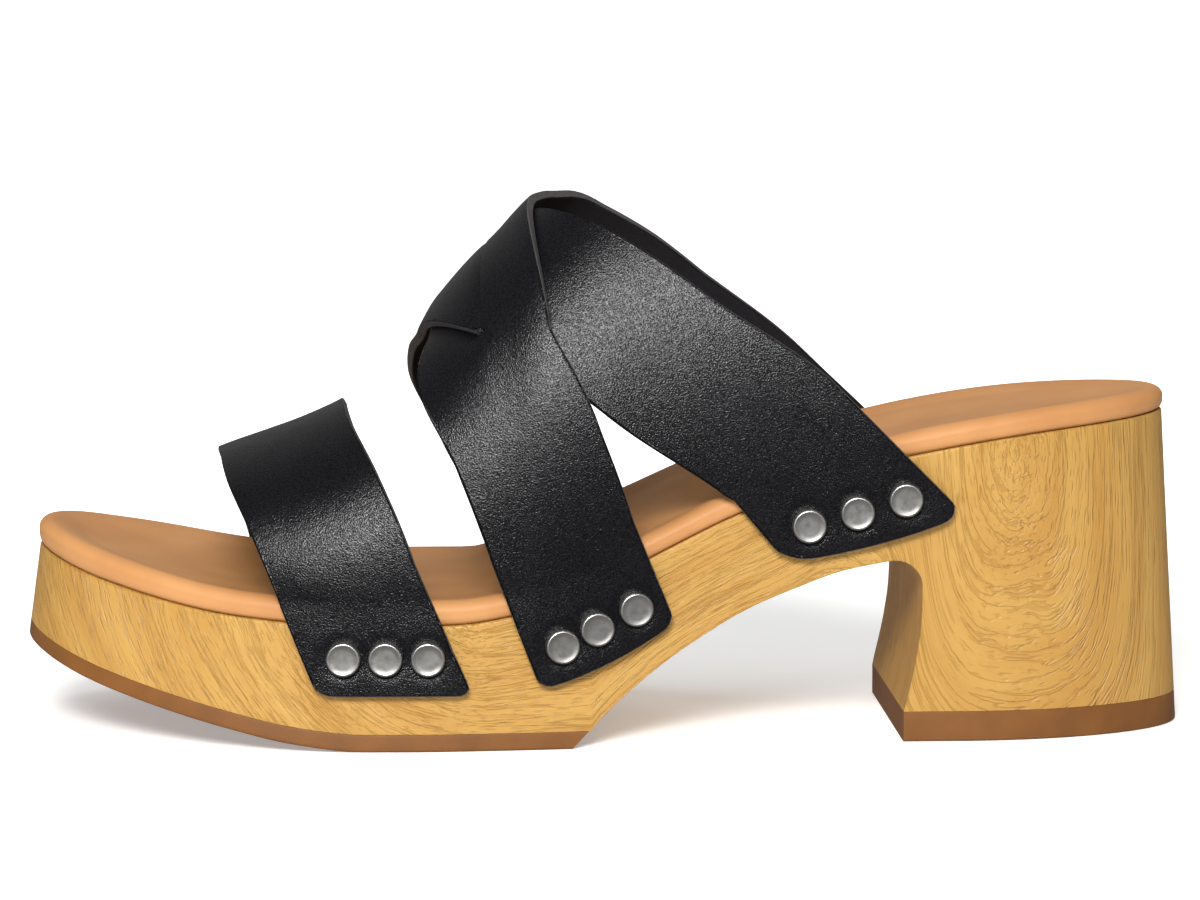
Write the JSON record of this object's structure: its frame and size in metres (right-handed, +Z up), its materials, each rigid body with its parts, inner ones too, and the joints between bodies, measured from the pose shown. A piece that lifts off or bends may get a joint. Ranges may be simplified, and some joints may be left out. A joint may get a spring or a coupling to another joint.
{
  "type": "platform sandal",
  "caption": "Backless block-heel platform sandal for the left foot, with a toe strap and crossed instep straps over a padded insole on a wood-look sole.",
  "frame": {"origin": "on the floor, under the middle of the sandal's box", "axes": "+X from toe to heel, +Y from the outer to the inner side of the foot, +Z up"},
  "size_m": [0.2438, 0.0926, 0.1109],
  "materials": {
    "wood": "satin moulded wood grain",
    "rubber": "satin",
    "insole": "matte padded",
    "leather": "semi-gloss grain",
    "pewter": "antique pewter"
  },
  "bodies": {
    "root": {"platform": "wood", "forefoot_outsole": "rubber", "heel_tip": "rubber", "insole": "insole", "toe_strap": "leather", "cross_straps": "leather", "stud_toe_outer_1": "pewter", "stud_toe_outer_2": "pewter", "stud_toe_outer_3": "pewter", "stud_toe_inner_1": "pewter", "stud_toe_inner_2": "pewter", "stud_toe_inner_3": "pewter", "stud_over_outer_1": "pewter", "stud_over_outer_2": "pewter", "stud_over_outer_3": "pewter", "stud_over_inner_1": "pewter", "stud_over_inner_2": "pewter", "stud_over_inner_3": "pewter", "stud_through_outer_1": "pewter", "stud_through_outer_2": "pewter", "stud_through_outer_3": "pewter", "stud_through_inner_1": "pewter", "stud_through_inner_2": "pewter", "stud_through_inner_3": "pewter"}
  },
  "joints": []
}
